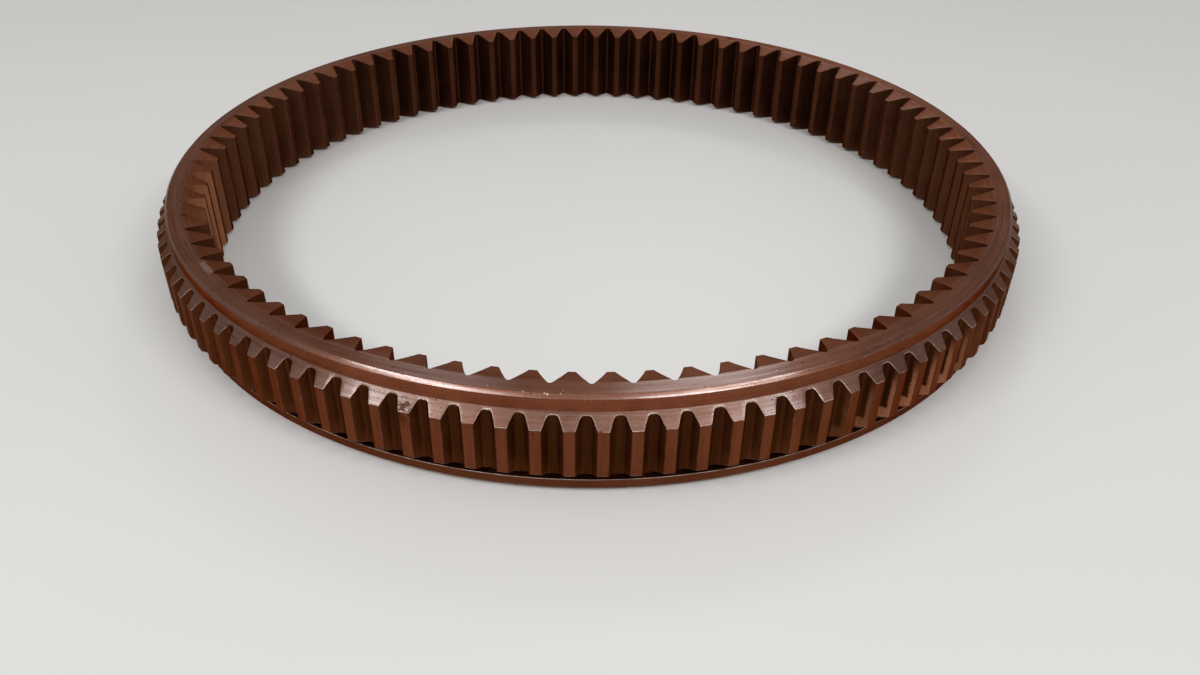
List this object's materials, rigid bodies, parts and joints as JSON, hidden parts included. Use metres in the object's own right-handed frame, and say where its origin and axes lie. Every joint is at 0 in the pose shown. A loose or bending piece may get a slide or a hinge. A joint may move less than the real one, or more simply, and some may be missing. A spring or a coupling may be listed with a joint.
{
  "type": "internal ring gear",
  "caption": "Ring gear with involute teeth inside, coarse straight teeth outside, a plain neck at the top and a grooved lip at the bottom.",
  "frame": {"origin": "centre of the lower face, on the gear's axis", "axes": "+Z along the gear's axis towards the neck, +X through the middle of an internal tooth and of an outer tooth space"},
  "size_m": [0.234, 0.234, 0.025],
  "materials": {
    "gear_steel": "machined steel with a brown oiled tint, fine turning and cutter marks, bright broken edges"
  },
  "bodies": {
    "root": {"ring_gear": "gear_steel"}
  },
  "joints": []
}
